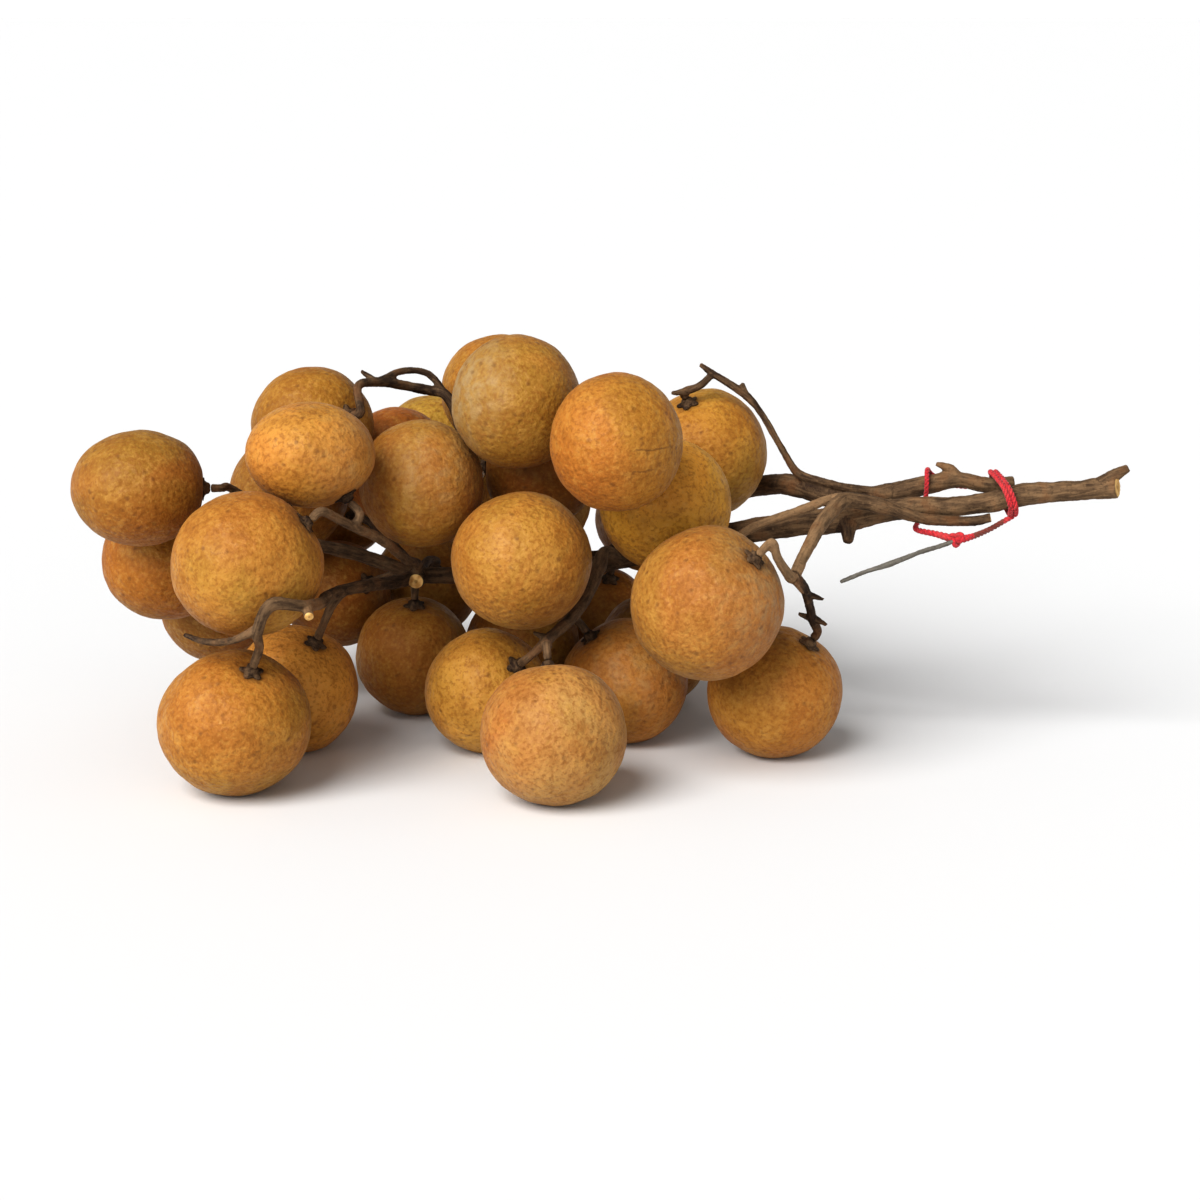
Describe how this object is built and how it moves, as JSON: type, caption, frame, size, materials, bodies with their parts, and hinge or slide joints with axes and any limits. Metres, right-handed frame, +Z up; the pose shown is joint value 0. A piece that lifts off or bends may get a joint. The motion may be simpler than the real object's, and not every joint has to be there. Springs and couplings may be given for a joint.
{
  "type": "longan bunch",
  "caption": "Bunch of round tan fruits on knobby cut woody stems that a red string ties together, lying on its side.",
  "frame": {"origin": "centre of the bunch's box in plan, on the surface it lies on", "axes": "+X towards the cut ends of the stems, -Y towards the viewer's side of the bunch, +Z up"},
  "size_m": [0.204, 0.1172, 0.0824],
  "materials": {
    "skin_far_left_top": "matte",
    "skin_far_left_mid": "matte",
    "skin_far_left_low": "matte",
    "skin_left_big": "matte",
    "skin_front_left": "matte",
    "skin_low_left": "matte",
    "skin_top_left_back": "matte",
    "skin_top_left": "matte",
    "skin_behind_left": "matte",
    "skin_mid_left": "matte",
    "skin_back_red": "matte",
    "skin_back_green": "matte",
    "skin_top": "matte",
    "skin_top_back": "matte",
    "skin_top_right": "matte",
    "skin_right_back": "matte",
    "skin_right_mid": "matte",
    "skin_centre": "matte",
    "skin_centre_back": "matte",
    "skin_right_big": "matte",
    "skin_right_low": "matte",
    "skin_low_right": "matte",
    "skin_front": "matte",
    "skin_low_middle": "matte",
    "skin_low_back": "matte",
    "skin_inner_left": "matte",
    "skin_inner_right": "matte",
    "skin_rear_1": "matte",
    "skin_rear_2": "matte",
    "skin_rear_3": "matte",
    "skin_rear_4": "matte",
    "skin_rear_5": "matte",
    "skin_rear_6": "matte",
    "bark_long": "rough",
    "bark_upper": "rough",
    "bark_front": "rough",
    "dry_bark": "rough",
    "red_string": "matte"
  },
  "bodies": {
    "root": {"fruit_far_left_top": "skin_far_left_top", "fruit_far_left_mid": "skin_far_left_mid", "fruit_far_left_low": "skin_far_left_low", "fruit_left_big": "skin_left_big", "fruit_front_left": "skin_front_left", "fruit_low_left": "skin_low_left", "fruit_top_left_back": "skin_top_left_back", "fruit_top_left": "skin_top_left", "fruit_behind_left": "skin_behind_left", "fruit_mid_left": "skin_mid_left", "fruit_back_red": "skin_back_red", "fruit_back_green": "skin_back_green", "fruit_top": "skin_top", "fruit_top_back": "skin_top_back", "fruit_top_right": "skin_top_right", "fruit_right_back": "skin_right_back", "fruit_right_mid": "skin_right_mid", "fruit_centre": "skin_centre", "fruit_centre_back": "skin_centre_back", "fruit_right_big": "skin_right_big", "fruit_right_low": "skin_right_low", "fruit_low_right": "skin_low_right", "fruit_front": "skin_front", "fruit_low_middle": "skin_low_middle", "fruit_low_back": "skin_low_back", "fruit_inner_left": "skin_inner_left", "fruit_inner_right": "skin_inner_right", "fruit_rear_1": "skin_rear_1", "fruit_rear_2": "skin_rear_2", "fruit_rear_3": "skin_rear_3", "fruit_rear_4": "skin_rear_4", "fruit_rear_5": "skin_rear_5", "fruit_rear_6": "skin_rear_6", "stem_long": "bark_long", "stem_upper": "bark_upper", "stem_front": "bark_front", "dry_twig": "dry_bark", "string_tie": "red_string"}
  },
  "joints": []
}
